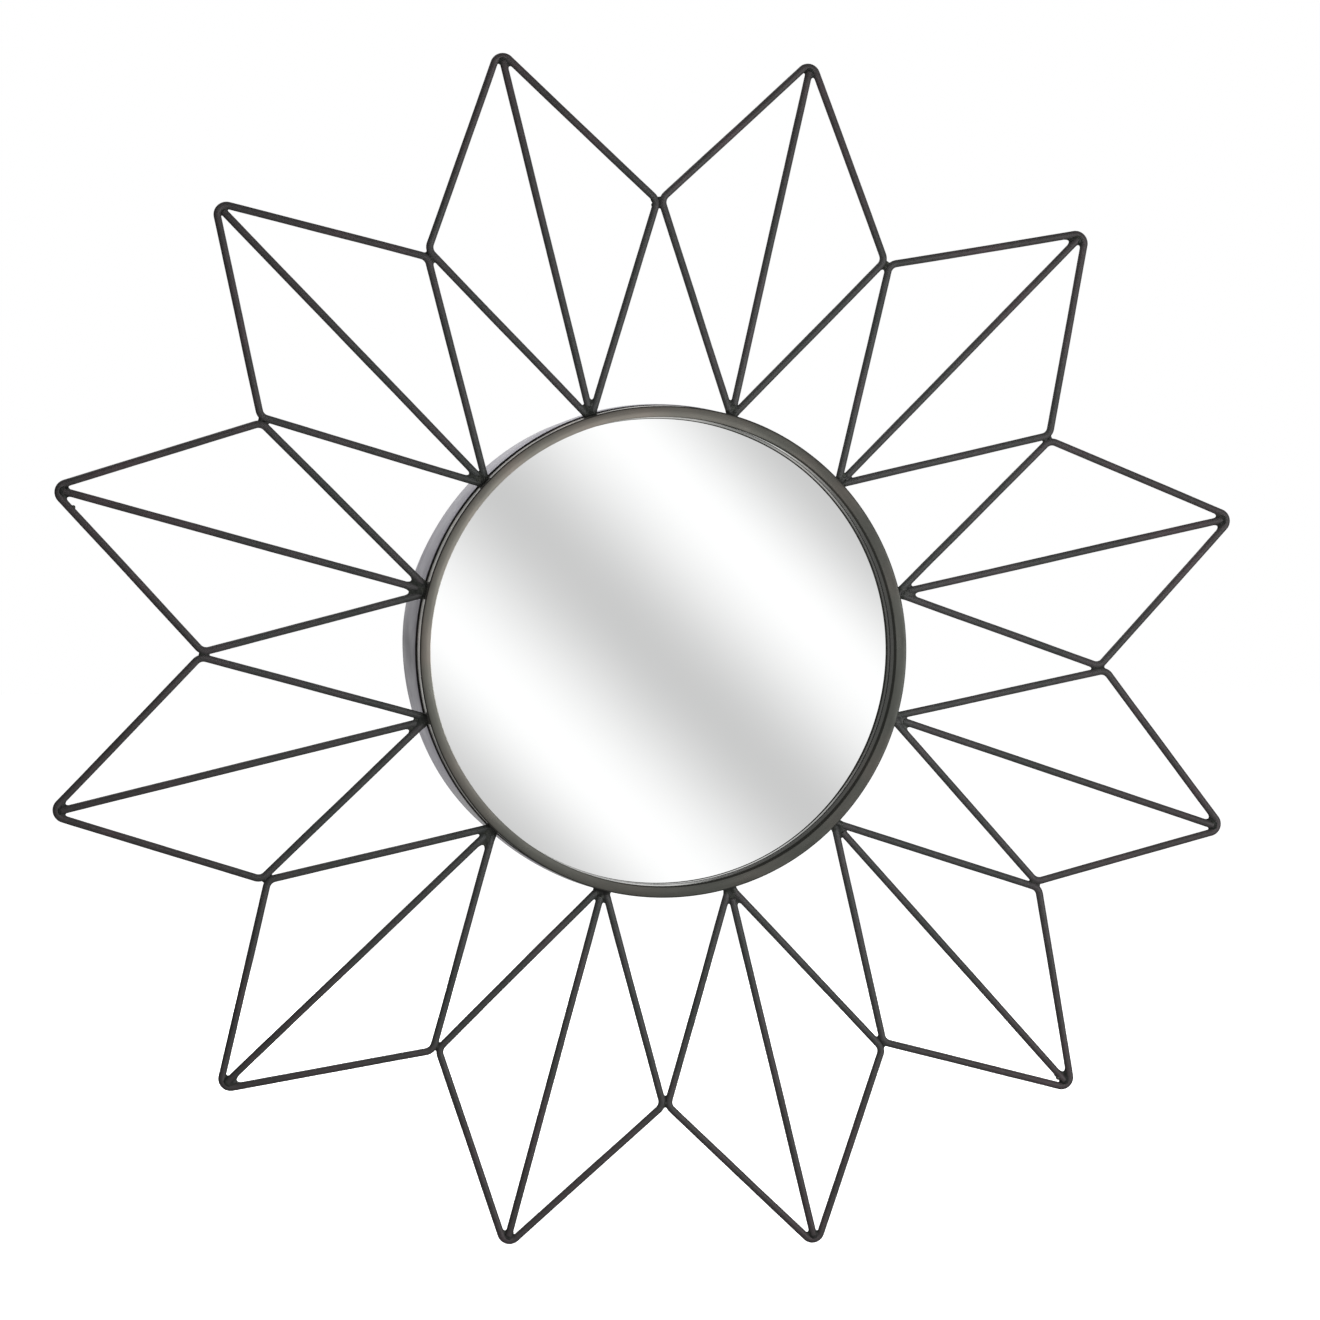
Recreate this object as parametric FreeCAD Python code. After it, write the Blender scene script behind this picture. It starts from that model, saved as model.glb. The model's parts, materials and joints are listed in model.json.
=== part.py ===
import FreeCAD, Part
import os, math

# Sunburst wall mirror: twelve bent-wire petals with spines, welded round a deep
# steel drum that holds a round mirror behind a narrow front lip.
# Frame: wall plane at y = 0, the mirror faces -Y, +X to the viewer's right, +Z up.
# Origin: centre of the drum on the wall plane. Millimetres.

# ---------------------------------------------------------------- dimensions
WIRE_D = 4.0            # petal and spine wire
TIP_BEND_R = 4.5        # centre-line bend radius at a petal tip
SIDE_BEND_R = 4.6       # centre-line bend radius at a petal's side corners
DEPTH = 89.0            # wall plane to the front of the lip
PETAL_Y = -77.6         # plane of the petal wires

LIP_OUT_R = 157.9       # outside of the front bezel
LIP_IN_R = 151.0        # sight edge of the front bezel
BEZEL_T = 1.5           # bezel sheet
LIP_OUT_FILLET = 2.0
LIP_IN_FILLET = 2.4
SKIRT_REAR_Y = -57.0    # the bezel's skirt reaches this far into the drum
RETURN_REAR_Y = -75.0   # rear edge of the bezel's inner return

DRUM_OUT_R = 160.0
DRUM_T = 2.0
DRUM_FRONT_Y = -71.0
GAP_R = 159.1           # the drum's front edge stands clear of the skirt: a shadow gap
GAP_DEEP = 9.0
FLANGE_IN_R = 148.0     # turned-in rear flange, flat on the wall
FLANGE_T = 2.0

SEAL_T = 1.0
GLASS_R = 152.4         # 12 in round glass
GLASS_T = 3.0
PAD_R = 152.0
PAD_T = 1.5
BOARD_R = 145.0
BOARD_T = 5.0

LUG_COUNT = 6
LUG_FIRST_DEG = 30.0
LUG_W = 14.0
LUG_T = 1.5
LUG_IN_R = 146.6
LUG_FOOT_LEN = 8.5
BUTTON_PIVOT_R = 151.5
BUTTON_L = 17.0         # pivot to the centre of the round tip
BUTTON_W = 7.0
BUTTON_T = 1.5
BUTTON_GAP = 0.3
SCREW_R = 1.5
SCREW_HEAD_R = 2.9
SCREW_HEAD_T = 1.7
SCREW_LEN = 5.6

BAR_Z = 97.0            # centre line of the hanger bar
BAR_H = 30.0
BAR_T = 3.0
BAR_REAR_Y = -9.0
HANGER_X = 70.0         # hanger spacing is twice this
RING_WIRE_R = 1.5
RING_HALF_W = 11.0
RING_LEG = 8.5
RING_CORNER_R = 3.0
RING_PIVOT_Z = 105.0
STRAP_W = 14.0
STRAP_T = 1.2
STRAP_LEN = 14.0
STRAP_BORE_R = 1.56
RIVET_R = 2.0
RIVET_HEAD_R = 3.6
RIVET_HEAD_T = 1.5
RIVET_DROP = 9.0

# The petals are bent and welded by hand, so each has its own corners.
# tip radius, tip angle, left corner radius, left angle, right corner radius,
# right angle, hub radius, hub angle; angles are offsets in degrees from the
# even 30 degree spacing. Petal 1 is the one left of the top, then clockwise.
PETALS = [
    (396.6, 0.77, 296.0, 0.92, 288.8, 1.06, 155.7, 2.78),
    (392.8, 0.98, 289.6, 0.51, 291.6, 0.27, 156.9, -1.26),
    (392.1, -0.52, 291.3, -0.50, 292.8, -1.04, 157.3, -1.66),
    (392.3, -1.88, 291.5, -1.59, 291.8, -1.93, 159.1, -1.29),
    (396.1, -2.27, 296.1, -2.37, 292.2, -1.19, 157.1, -0.82),
    (399.4, -1.34, 295.7, -1.71, 294.9, 0.05, 159.0, 0.56),
    (402.0, -0.03, 298.2, -0.47, 293.7, 0.97, 158.5, 1.33),
    (395.8, 0.35, 293.7, 0.39, 292.3, 0.53, 154.8, 0.95),
    (396.2, -0.50, 294.8, -0.02, 290.8, -0.05, 155.9, 1.07),
    (401.6, -0.18, 294.3, -0.54, 294.8, 0.80, 156.6, 0.94),
    (400.1, 0.36, 293.2, 0.22, 294.0, 0.87, 153.9, 1.03),
    (401.1, 0.57, 296.3, 0.31, 292.3, 1.43, 155.5, 2.30),
]
FIRST_DEG = 105.0
STEP_DEG = 30.0

# weld beads
HUB_WELD_R = 8.6
HUB_WELD_T = 3.0        # half thickness
HUB_WELD_OUT = 5.0      # bead centre, outwards of the wires' meeting point
TIP_WELD_R = 4.6
TIP_WELD_T = 2.45
TIP_WELD_IN = 9.2       # bead centre, inwards of the tip corner
SIDE_WELD_R = 3.0

V = FreeCAD.Vector
os.makedirs("parts", exist_ok=True)


def save(shape, name):
    shape = shape.removeSplitter() if len(shape.Solids) == 1 else shape
    if not shape.isValid():
        shape.fix(1e-6, 1e-6, 1e-6)
    print(name, "solids", len(shape.Solids), "valid", shape.isValid(), "vol", round(shape.Volume, 1))
    shape.exportStep("parts/%s.step" % name)


def at(r, deg, y=PETAL_Y):
    a = math.radians(deg)
    return V(r * math.cos(a), y, r * math.sin(a))


def unit(v):
    return v * (1.0 / v.Length)


def angle(u, v):
    return math.acos(max(-1.0, min(1.0, unit(u).dot(unit(v)))))


def ring(points):
    """solid of revolution about Y from (radius, y) points; a point may carry an arc's middle point"""
    edges = []
    n = len(points)
    for i in range(n):
        p, q = points[i], points[(i + 1) % n]
        a, b = V(p[0], p[1], 0), V(q[0], q[1], 0)
        if len(q) == 4:
            edges.append(Part.Arc(a, V(q[2], q[3], 0), b).toShape())
        else:
            edges.append(Part.makeLine(a, b))
    face = Part.Face(Part.Wire(edges))
    return face.revolve(V(0, 0, 0), V(0, 1, 0), 360)


def disc(r, y0, y1):
    return Part.makeCylinder(r, y1 - y0, V(0, y0, 0), V(0, 1, 0))


def rod(p, q, r):
    return Part.makeCylinder(r, (q - p).Length, p, q - p)


def lens(centre, radius, half):
    """flattened bead: the common part of two balls"""
    big = (radius * radius + half * half) / (2 * half)
    a = Part.makeSphere(big, centre + V(0, big - half, 0))
    b = Part.makeSphere(big, centre - V(0, big - half, 0))
    return a.common(b)


def biggest(shape):
    return max(shape.Solids, key=lambda s: s.Volume)


# ---------------------------------------------------------------- petals
def corner(p, a, b, r):
    """bend at p between the straight runs to a and b: start, middle, end"""
    u, w = unit(a - p), unit(b - p)
    half = angle(u, w) / 2
    t = r / math.tan(half)
    centre = p + unit(u + w) * (r / math.sin(half))
    return p + u * t, centre + unit(p - centre) * r, p + w * t


petal_wires, spines, petal_points = [], [], []
for i, row in enumerate(PETALS):
    mid = FIRST_DEG - STEP_DEG * i
    T = at(row[0], mid + row[1])
    L = at(row[2], mid + STEP_DEG / 2 + row[3])
    R = at(row[4], mid - STEP_DEG / 2 + row[5])
    H = at(row[6], mid + row[7])
    axis = unit(T - H)
    rad = WIRE_D / 2
    ends = []
    for C in (L, R):
        alpha = angle(C - H, axis)
        clear_pair = (rad + 0.06) / math.sin(alpha)
        lean = angle(C - H, V(H.x, 0, H.z))
        clear_drum = (LIP_OUT_R + 0.25 + rad * math.sin(lean) - row[6]) / math.cos(lean)
        ends.append(max(clear_pair, clear_drum))
    S = H + unit(L - H) * ends[0]
    E = H + unit(R - H) * ends[1]
    l1, lm, l2 = corner(L, H, T, SIDE_BEND_R)
    t1, tm, t2 = corner(T, L, R, TIP_BEND_R)
    r1, rm, r2 = corner(R, T, H, SIDE_BEND_R)
    path = Part.Wire([
        Part.makeLine(S, l1), Part.Arc(l1, lm, l2).toShape(),
        Part.makeLine(l2, t1), Part.Arc(t1, tm, t2).toShape(),
        Part.makeLine(t2, r1), Part.Arc(r1, rm, r2).toShape(),
        Part.makeLine(r2, E)])
    profile = Part.Wire([Part.makeCircle(rad, S, unit(L - H))])
    wire = path.makePipeShell([profile], True, False)
    if wire.Volume < 0:
        wire.reverse()
    petal_wires.append(wire)
    start = (WIRE_D + 0.12) / math.sin(min(angle(L - H, axis), angle(R - H, axis)))
    stop = (WIRE_D + 0.12) / math.sin(min(angle(L - T, H - T), angle(R - T, H - T)))
    spines.append(rod(H + axis * start, T - axis * stop, rad))
    petal_points.append((T, L, R, H, axis))
    save(wire, "petal_wire_%02d" % (i + 1))
    save(spines[-1], "spine_rod_%02d" % (i + 1))

# ---------------------------------------------------------------- weld beads
drum_blank = disc(LIP_OUT_R + 0.05, -DEPTH - 20, 0)
hub_welds, tip_welds, side_welds = [], [], []
for i in range(len(PETALS)):
    T, L, R, H, axis = petal_points[i]
    rad = WIRE_D / 2
    bead = lens(H + axis * HUB_WELD_OUT, HUB_WELD_R, HUB_WELD_T).cut(drum_blank)
    hub_welds.append(biggest(bead.cut(petal_wires[i]).cut(spines[i])))
    bead = lens(T - axis * TIP_WELD_IN, TIP_WELD_R, TIP_WELD_T)
    tip_welds.append(biggest(bead.cut(petal_wires[i]).cut(spines[i])))
    k = (i + 1) % len(PETALS)
    gap, pairs, _ = petal_wires[i].distToShape(petal_wires[k])
    a, b = pairs[0]
    spot = V((a.x + b.x) / 2, PETAL_Y, (a.z + b.z) / 2)
    print("side gap %d-%d: %.2f mm" % (i + 1, k + 1, gap))
    bead = Part.makeSphere(SIDE_WELD_R + gap * 0.3, spot)
    side_welds.append(biggest(bead.cut(petal_wires[i]).cut(petal_wires[k])))
save(Part.makeCompound(hub_welds), "hub_welds")
save(Part.makeCompound(tip_welds), "tip_welds")
save(Part.makeCompound(side_welds), "side_welds")

# ---------------------------------------------------------------- drum
front = -DEPTH
c45 = math.sqrt(0.5)
ro, ri = LIP_OUT_FILLET, LIP_IN_FILLET
bezel = ring([
    (LIP_OUT_R, SKIRT_REAR_Y),
    (LIP_OUT_R, front + ro),
    (LIP_OUT_R - ro, front, LIP_OUT_R - ro + ro * c45, front + ro - ro * c45),
    (LIP_IN_R + ri, front),
    (LIP_IN_R, front + ri, LIP_IN_R + ri - ri * c45, front + ri - ri * c45),
    (LIP_IN_R, RETURN_REAR_Y),
    (LIP_IN_R + BEZEL_T, RETURN_REAR_Y),
    (LIP_IN_R + BEZEL_T, front + ri),
    (LIP_IN_R + ri, front + BEZEL_T, LIP_IN_R + ri - (ri - BEZEL_T) * c45, front + ri - (ri - BEZEL_T) * c45),
    (LIP_OUT_R - ro, front + BEZEL_T),
    (LIP_OUT_R - BEZEL_T, front + ro, LIP_OUT_R - ro + (ro - BEZEL_T) * c45, front + ro - (ro - BEZEL_T) * c45),
    (LIP_OUT_R - BEZEL_T, SKIRT_REAR_Y),
])
save(bezel, "front_bezel")

f = 1.5
e = 0.4
drum = ring([
    (GAP_R, DRUM_FRONT_Y),
    (DRUM_OUT_R - e, DRUM_FRONT_Y),
    (DRUM_OUT_R, DRUM_FRONT_Y + e, DRUM_OUT_R - e + e * c45, DRUM_FRONT_Y + e - e * c45),
    (DRUM_OUT_R, -f),
    (DRUM_OUT_R - f, 0, DRUM_OUT_R - f + f * c45, -f + f * c45),
    (FLANGE_IN_R, 0),
    (FLANGE_IN_R, -FLANGE_T),
    (DRUM_OUT_R - DRUM_T, -FLANGE_T),
    (DRUM_OUT_R - DRUM_T, DRUM_FRONT_Y + GAP_DEEP),
    (GAP_R, DRUM_FRONT_Y + GAP_DEEP),
])
save(drum, "drum_band")

# ---------------------------------------------------------------- mirror and its backing
y = RETURN_REAR_Y
seal = disc(GLASS_R + 1.4, y, y + SEAL_T).cut(disc(LIP_IN_R + 0.05, y - 1, y + SEAL_T + 1))
save(seal, "glazing_seal")
y += SEAL_T
glass = disc(GLASS_R, y, y + GLASS_T)
save(glass, "mirror_glass")
y += GLASS_T
save(disc(PAD_R, y, y + PAD_T), "backing_pad")
y += PAD_T
board_rear = y + BOARD_T
save(disc(BOARD_R, y, board_rear), "backboard")

# ---------------------------------------------------------------- lugs, turn buttons, screws
lugs, screws = [], []
skirt_in = LIP_OUT_R - BEZEL_T - 0.05
for j in range(LUG_COUNT):
    deg = LUG_FIRST_DEG + j * 360.0 / LUG_COUNT
    # built on the +X axis, then turned about Y into place
    half = LUG_W / 2
    zone = Part.makeBox(40, 60, LUG_W, V(skirt_in - 30, board_rear - 50, -half))
    tab = disc(skirt_in, board_rear - LUG_T, board_rear).common(
        Part.makeBox(30, 60, LUG_W, V(LUG_IN_R, board_rear - 50, -half)))
    foot = disc(skirt_in, board_rear - LUG_FOOT_LEN, board_rear).cut(
        disc(skirt_in - LUG_T, board_rear - LUG_FOOT_LEN - 1, board_rear + 1)).common(zone)
    hole = Part.makeCylinder(SCREW_R, 20, V(BUTTON_PIVOT_R, board_rear - 10, 0), V(0, 1, 0))
    lug = biggest(tab.fuse(foot).removeSplitter().cut(hole))
    y0 = board_rear + BUTTON_GAP
    y1 = y0 + BUTTON_T
    w = BUTTON_W / 2
    blade = Part.makeBox(BUTTON_L, BUTTON_T, BUTTON_W, V(BUTTON_PIVOT_R - BUTTON_L, y0, -w))
    for x in (BUTTON_PIVOT_R, BUTTON_PIVOT_R - BUTTON_L):
        blade = blade.fuse(Part.makeCylinder(w, BUTTON_T, V(x, y0, 0), V(0, 1, 0)))
    blade = blade.removeSplitter().cut(
        Part.makeCylinder(SCREW_R + 0.07, 20, V(BUTTON_PIVOT_R, y0 - 5, 0), V(0, 1, 0)))
    head_y = y1 + BUTTON_GAP
    screw = Part.makeCylinder(SCREW_R, SCREW_LEN, V(BUTTON_PIVOT_R, head_y - SCREW_LEN, 0), V(0, 1, 0))
    head = Part.makeCylinder(SCREW_HEAD_R, SCREW_HEAD_T, V(BUTTON_PIVOT_R, head_y, 0), V(0, 1, 0))
    head = head.makeFillet(0.7, [e for e in head.Edges if abs(e.BoundBox.YMin - (head_y + SCREW_HEAD_T)) < 1e-6 and e.BoundBox.YLength < 1e-6])
    slot = Part.makeBox(4 * SCREW_HEAD_R, 0.9, 0.8, V(BUTTON_PIVOT_R - 2 * SCREW_HEAD_R, head_y + SCREW_HEAD_T - 0.8, -0.4))
    screw = screw.fuse(head.cut(slot)).removeSplitter()
    for s in (lug, blade, screw):
        s.rotate(V(0, 0, 0), V(0, 1, 0), -deg)
    lugs.append(lug)
    screws.append(biggest(screw))
    save(biggest(blade), "turn_button_%d" % (j + 1))
save(Part.makeCompound(lugs), "board_lugs")
save(Part.makeCompound(screws), "turn_button_screws")

# ---------------------------------------------------------------- hanger bar and hangers
bar_y0 = BAR_REAR_Y - BAR_T
bar = disc(DRUM_OUT_R - DRUM_T - 0.05, bar_y0, BAR_REAR_Y).common(
    Part.makeBox(400, BAR_T, BAR_H, V(-200, bar_y0, BAR_Z - BAR_H / 2)))
rivets = []
sleeve_r = STRAP_BORE_R + STRAP_T
pivot_y = BAR_REAR_Y + sleeve_r + 0.3
for name, x in (("left", -HANGER_X), ("right", HANGER_X)):
    rz = RING_PIVOT_Z - RIVET_DROP
    hole = Part.makeCylinder(RIVET_R, 40, V(x, BAR_REAR_Y - 20, rz), V(0, 1, 0))
    bar = bar.cut(hole)
    sleeve = Part.makeCylinder(sleeve_r, STRAP_W, V(x - STRAP_W / 2, pivot_y, RING_PIVOT_Z), V(1, 0, 0))
    tongue = Part.makeBox(STRAP_W, 2 * STRAP_T, STRAP_LEN, V(x - STRAP_W / 2, BAR_REAR_Y, RING_PIVOT_Z - STRAP_LEN))
    tongue = tongue.makeFillet(3.0, [e for e in tongue.Edges if e.BoundBox.YLength > 1 and abs(e.BoundBox.ZMin - (RING_PIVOT_Z - STRAP_LEN)) < 1e-6])
    bore = Part.makeCylinder(STRAP_BORE_R, 60, V(x - 30, pivot_y, RING_PIVOT_Z), V(1, 0, 0))
    strap = biggest(sleeve.fuse(tongue).removeSplitter().cut(bore).cut(hole))
    save(strap, "hanger_strap_" + name)
    top = BAR_REAR_Y + 2 * STRAP_T
    shank = Part.makeCylinder(RIVET_R, top - bar_y0, V(x, bar_y0, rz), V(0, 1, 0))
    heads = []
    for hy, sgn in ((top, 1), (bar_y0, -1)):
        big = (RIVET_HEAD_R ** 2 + RIVET_HEAD_T ** 2) / (2 * RIVET_HEAD_T)
        ball = Part.makeSphere(big, V(x, hy - sgn * (big - RIVET_HEAD_T), rz))
        box = Part.makeBox(40, 20, 40, V(x - 20, hy if sgn > 0 else hy - 20, rz - 20))
        heads.append(ball.common(box))
    rivets.append(biggest(shank.fuse(heads[0]).fuse(heads[1]).removeSplitter()))
    # D-ring hanging from its straight side
    w, cr = RING_HALF_W, RING_CORNER_R
    P = lambda dx, dz: V(x + dx, pivot_y, RING_PIVOT_Z + dz)
    s = cr * (1 - c45)
    path = Part.Wire([
        Part.makeLine(P(0, 0), P(w - cr, 0)),
        Part.Arc(P(w - cr, 0), P(w - s, -s), P(w, -cr)).toShape(),
        Part.makeLine(P(w, -cr), P(w, -RING_LEG)),
        Part.Arc(P(w, -RING_LEG), P(0, -RING_LEG - w), P(-w, -RING_LEG)).toShape(),
        Part.makeLine(P(-w, -RING_LEG), P(-w, -cr)),
        Part.Arc(P(-w, -cr), P(-w + s, -s), P(-w + cr, 0)).toShape(),
        Part.makeLine(P(-w + cr, 0), P(0, 0))])
    profile = Part.Wire([Part.makeCircle(RING_WIRE_R, P(0, 0), V(1, 0, 0))])
    loop = path.makePipeShell([profile], True, False)
    if loop.Volume < 0:
        loop.reverse()
    save(loop, "d_ring_" + name)
save(bar, "hanger_bar")
save(Part.makeCompound(rivets), "hanger_rivets")
print("pivot_y", pivot_y, "board_rear", board_rear)
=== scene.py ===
import json
import math
import bpy
import numpy as np
from mathutils import Matrix, Vector

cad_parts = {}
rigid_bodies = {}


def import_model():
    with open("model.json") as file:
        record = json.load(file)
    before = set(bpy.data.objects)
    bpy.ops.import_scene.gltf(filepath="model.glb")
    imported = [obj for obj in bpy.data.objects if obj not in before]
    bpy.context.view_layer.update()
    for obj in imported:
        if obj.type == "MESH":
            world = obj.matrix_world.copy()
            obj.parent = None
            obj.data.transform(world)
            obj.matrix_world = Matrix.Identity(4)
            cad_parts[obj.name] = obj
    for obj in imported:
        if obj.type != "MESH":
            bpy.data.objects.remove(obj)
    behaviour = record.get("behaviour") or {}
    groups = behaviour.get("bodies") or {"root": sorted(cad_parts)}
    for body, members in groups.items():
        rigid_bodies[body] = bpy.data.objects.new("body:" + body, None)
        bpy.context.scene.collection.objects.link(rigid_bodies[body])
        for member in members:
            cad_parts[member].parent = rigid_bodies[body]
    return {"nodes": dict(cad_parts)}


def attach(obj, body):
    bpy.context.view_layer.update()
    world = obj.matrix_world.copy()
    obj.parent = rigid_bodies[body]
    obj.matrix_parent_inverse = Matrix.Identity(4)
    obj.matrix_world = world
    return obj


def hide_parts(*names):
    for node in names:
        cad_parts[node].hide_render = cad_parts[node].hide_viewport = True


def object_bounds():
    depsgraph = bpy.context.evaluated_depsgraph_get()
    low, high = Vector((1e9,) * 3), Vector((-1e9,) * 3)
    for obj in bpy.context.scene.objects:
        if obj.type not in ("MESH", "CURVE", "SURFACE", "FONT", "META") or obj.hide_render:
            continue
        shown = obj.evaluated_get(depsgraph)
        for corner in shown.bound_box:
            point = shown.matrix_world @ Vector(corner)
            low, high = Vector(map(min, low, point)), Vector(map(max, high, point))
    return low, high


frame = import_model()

CAD_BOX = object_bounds()
MM = 0.001

# ------------------------------------------------------------------ sizes, in mm
WIRE_R = 2.0
COAT_R = 2.36            # wire with its coating
TIP_BEND_R = 5.8
SIDE_BEND_R = 6.8
PETAL_Y = -77.6
LIP_OUT_R = 157.9
LIP_IN_R = 151.0
FRONT_Y = -89.0
# tip radius, tip angle, left corner radius and angle, right corner radius and angle,
# hub radius and angle; angles are offsets from the even 30 degree spacing
PETALS = [
    (396.6, 0.77, 296.0, 0.92, 288.8, 1.06, 155.7, 2.78),
    (392.8, 0.98, 289.6, 0.51, 291.6, 0.27, 156.9, -1.26),
    (392.1, -0.52, 291.3, -0.50, 292.8, -1.04, 157.3, -1.66),
    (392.3, -1.88, 291.5, -1.59, 291.8, -1.93, 159.1, -1.29),
    (396.1, -2.27, 296.1, -2.37, 292.2, -1.19, 157.1, -0.82),
    (399.4, -1.34, 295.7, -1.71, 294.9, 0.05, 159.0, 0.56),
    (402.0, -0.03, 298.2, -0.47, 293.7, 0.97, 158.5, 1.33),
    (395.8, 0.35, 293.7, 0.39, 292.3, 0.53, 154.8, 0.95),
    (396.2, -0.50, 294.8, -0.02, 290.8, -0.05, 155.9, 1.07),
    (401.6, -0.18, 294.3, -0.54, 294.8, 0.80, 156.6, 0.94),
    (400.1, 0.36, 293.2, 0.22, 294.0, 0.87, 153.9, 1.03),
    (401.1, 0.57, 296.3, 0.31, 292.3, 1.43, 155.5, 2.30),
]


# ------------------------------------------------------------------ camera
def make_camera():
    data = bpy.data.cameras.new("camera")
    cam = bpy.data.objects.new("camera", data)
    bpy.context.scene.collection.objects.link(cam)
    right = Vector((0.986268, -0.165048, 0.005853))
    up = Vector((-0.001122, 0.028743, 0.999586))
    fwd = Vector((0.165148, 0.985867, -0.028163))
    m = Matrix((right, up, -fwd)).transposed().to_4x4()
    m.translation = Vector((-0.34181, -2.10761, 0.05216))
    cam.matrix_world = m
    data.sensor_width = 36.0
    data.lens = 18.0 / math.tan(math.radians(23.307681 / 2))
    data.clip_end = 60
    bpy.context.scene.camera = cam


make_camera()


# ------------------------------------------------------------------ node helpers
class Nodes:
    def __init__(self, name):
        self.mat = bpy.data.materials.new(name)
        self.mat.use_nodes = True
        self.t = self.mat.node_tree
        self.t.nodes.clear()
        self.out = self.t.nodes.new("ShaderNodeOutputMaterial")
        self.bsdf = self.t.nodes.new("ShaderNodeBsdfPrincipled")
        self.link(self.bsdf.outputs[0], self.out.inputs[0])
        self.coord = self.t.nodes.new("ShaderNodeTexCoord").outputs["Object"]

    def link(self, a, b):
        self.t.links.new(a, b)

    def set(self, **kw):
        for k, v in kw.items():
            self.bsdf.inputs[k.replace("_", " ")].default_value = v

    def noise(self, scale, detail=3.0, rough=0.5, vector=None, distortion=0.0):
        n = self.t.nodes.new("ShaderNodeTexNoise")
        n.inputs["Scale"].default_value = scale
        n.inputs["Detail"].default_value = detail
        n.inputs["Roughness"].default_value = rough
        n.inputs["Distortion"].default_value = distortion
        self.link(vector or self.coord, n.inputs["Vector"])
        return n.outputs["Fac"]

    def voronoi(self, scale, vector=None, feature="F1"):
        n = self.t.nodes.new("ShaderNodeTexVoronoi")
        n.feature = feature
        n.inputs["Scale"].default_value = scale
        self.link(vector or self.coord, n.inputs["Vector"])
        return n.outputs["Distance"]

    def ramp(self, fac, stops, interpolation="LINEAR"):
        n = self.t.nodes.new("ShaderNodeValToRGB")
        n.color_ramp.interpolation = interpolation
        el = n.color_ramp.elements
        while len(el) < len(stops):
            el.new(0.5)
        for e, (p, c) in zip(el, stops):
            e.position = p
            e.color = (*c, 1) if len(c) == 3 else c
        self.link(fac, n.inputs["Fac"])
        return n.outputs["Color"]

    def span(self, fac, lo, hi, a=0.0, b=1.0, soft=False):
        n = self.t.nodes.new("ShaderNodeMapRange")
        if soft:
            n.interpolation_type = "SMOOTHSTEP"
        for k, v in zip(("From Min", "From Max", "To Min", "To Max"), (a, b, lo, hi)):
            n.inputs[k].default_value = v
        self.link(fac, n.inputs["Value"])
        return n.outputs["Result"]

    def math(self, op, a, b=None):
        n = self.t.nodes.new("ShaderNodeMath")
        n.operation = op
        for i, v in enumerate((a, b)):
            if v is None:
                continue
            if isinstance(v, (int, float)):
                n.inputs[i].default_value = v
            else:
                self.link(v, n.inputs[i])
        return n.outputs[0]

    def mix(self, fac, a, b):
        n = self.t.nodes.new("ShaderNodeMix")
        n.data_type = "RGBA"
        ins = [s for s in n.inputs if s.enabled]
        for s, v in zip(ins, (fac, a, b)):
            if isinstance(v, (int, float)):
                s.default_value = v
            elif isinstance(v, tuple):
                s.default_value = (*v, 1)
            else:
                self.link(v, s)
        return [o for o in n.outputs if o.enabled][0]

    def times(self, a, b, fac=1.0):
        n = self.t.nodes.new("ShaderNodeMix")
        n.data_type = "RGBA"
        n.blend_type = "MULTIPLY"
        ins = [s for s in n.inputs if s.enabled]
        ins[0].default_value = fac
        self.link(a, ins[1])
        self.link(b, ins[2])
        return [o for o in n.outputs if o.enabled][0]

    def xyz(self):
        s = self.t.nodes.new("ShaderNodeSeparateXYZ")
        self.link(self.coord, s.inputs[0])
        return s.outputs

    def radius(self):
        x, y, z = self.xyz()
        return self.math("SQRT", self.math("ADD", self.math("MULTIPLY", x, x), self.math("MULTIPLY", z, z)))

    def stretch(self, scale):
        n = self.t.nodes.new("ShaderNodeMapping")
        n.inputs["Scale"].default_value = scale
        self.link(self.coord, n.inputs["Vector"])
        return n.outputs[0]

    def ring_coords(self, k_radius, k_y, k_round):
        """coordinates whose fine direction runs across a turned surface, so noise becomes rings"""
        x, y, z = self.xyz()
        r = self.radius()
        c = self.t.nodes.new("ShaderNodeCombineXYZ")
        self.link(self.math("MULTIPLY", r, k_radius), c.inputs[0])
        self.link(self.math("MULTIPLY", y, k_y), c.inputs[1])
        self.link(self.math("MULTIPLY", self.math("ADD", x, self.math("MULTIPLY", z, 1.7)), k_round), c.inputs[2])
        return c.outputs[0]

    def bump(self, height, strength, distance, normal=None):
        n = self.t.nodes.new("ShaderNodeBump")
        n.inputs["Strength"].default_value = strength
        n.inputs["Distance"].default_value = distance
        self.link(height, n.inputs["Height"])
        if normal is not None:
            self.link(normal, n.inputs["Normal"])
        return n.outputs[0]

    def put(self, color=None, rough=None, normal=None, metal=None):
        for sock, v in (("Base Color", color), ("Roughness", rough), ("Normal", normal), ("Metallic", metal)):
            if v is not None:
                self.link(v, self.bsdf.inputs[sock])
        return self.mat


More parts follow.
